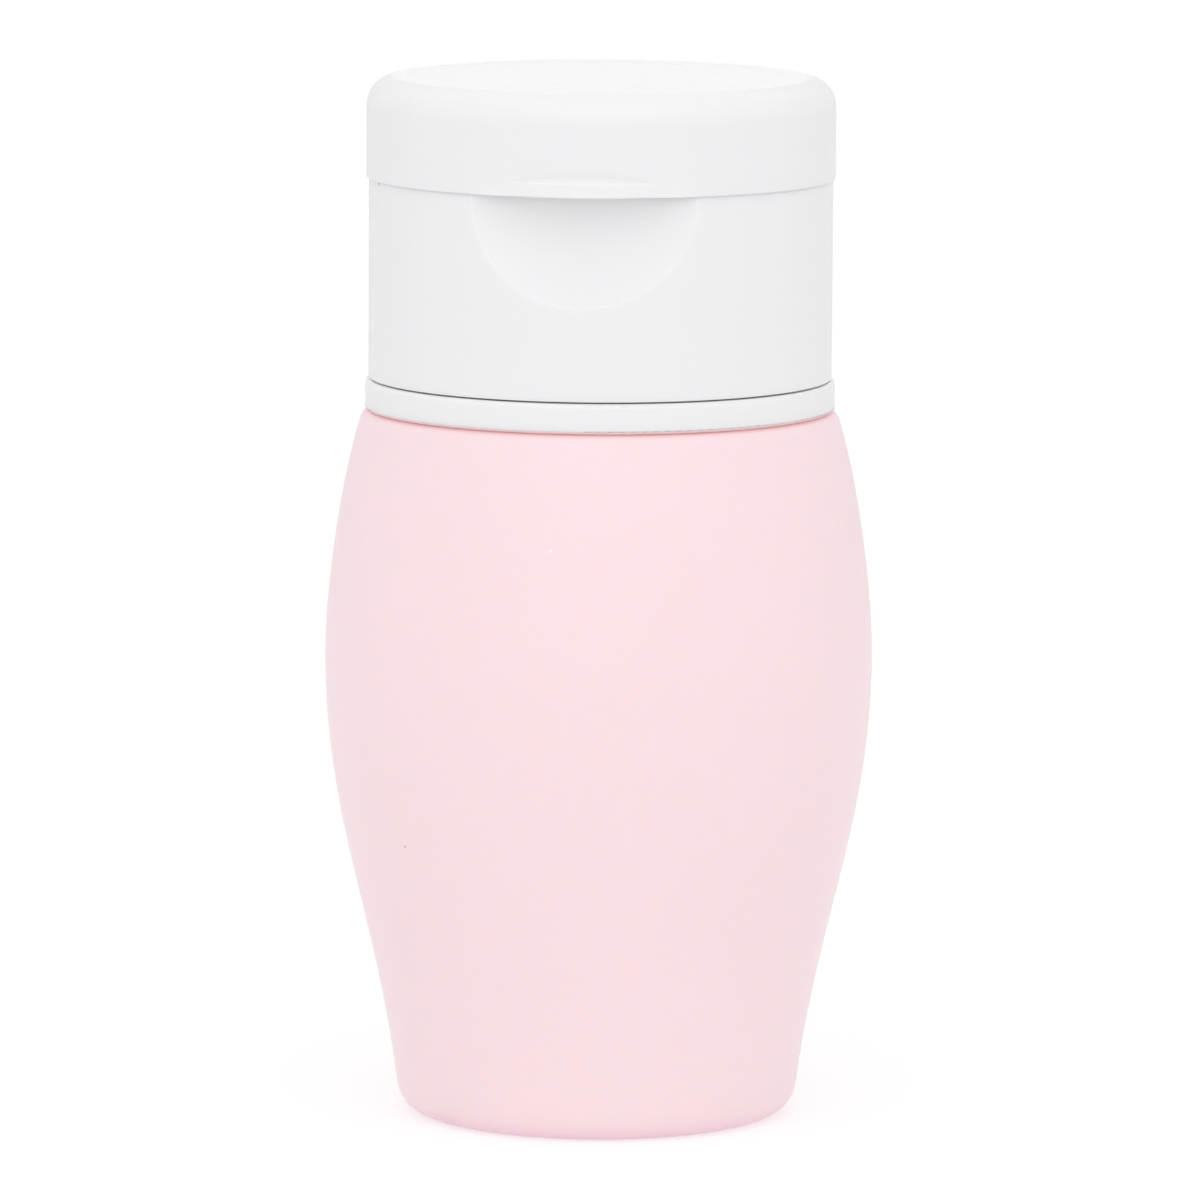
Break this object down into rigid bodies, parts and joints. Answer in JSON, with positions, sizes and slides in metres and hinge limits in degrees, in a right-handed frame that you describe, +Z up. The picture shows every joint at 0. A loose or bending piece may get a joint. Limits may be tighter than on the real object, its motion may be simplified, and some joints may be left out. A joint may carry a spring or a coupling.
{
  "type": "travel squeeze bottle",
  "caption": "Soft silicone squeeze bottle with a hard threaded collar and a white screw cap that has a hinged flip lid, thumb recess and slit valve spout.",
  "frame": {"origin": "centre of the foot on the standing plane", "axes": "+Z up along the bottle's axis, -Y out of the thumb recess, +Y towards the lid's hinge, +X along the hinge pin"},
  "size_m": [0.05, 0.05, 0.0951],
  "materials": {
    "pink_silicone": "smooth matte pale pink silicone",
    "white_plastic": "satin white moulded polypropylene",
    "clear_silicone": "milky soft silicone",
    "pin_steel": "drawn stainless wire"
  },
  "bodies": {
    "bottle": {"silicone_bottle": "pink_silicone", "threaded_collar": "white_plastic", "mouth_ring": "white_plastic"},
    "washer": {"seal_washer": "clear_silicone"},
    "cap": {"cap_base": "white_plastic", "slit_valve": "clear_silicone", "valve_retainer": "white_plastic", "hinge_pin": "pin_steel"},
    "lid": {"flip_lid": "white_plastic"}
  },
  "joints": [
    {"name": "cap_lift", "type": "slide", "parent": "bottle", "child": "washer", "axis": [0, 0, 1], "range_m": [0, 0.00601]},
    {"name": "cap_turn", "type": "hinge", "parent": "washer", "child": "cap", "pos_m": [0, 0, 0.08437], "axis": [0, 0, 1], "range_deg": [0, 540]},
    {"name": "lid_flip", "type": "hinge", "parent": "cap", "child": "lid", "pos_m": [0, 0.02028, 0.08599], "axis": [-1, 0, 0], "range_deg": [0, 130]}
  ],
  "couplings": [
    {"joint": "cap_lift", "follows": "cap_turn", "m_per_rad": 0.00063662}
  ]
}
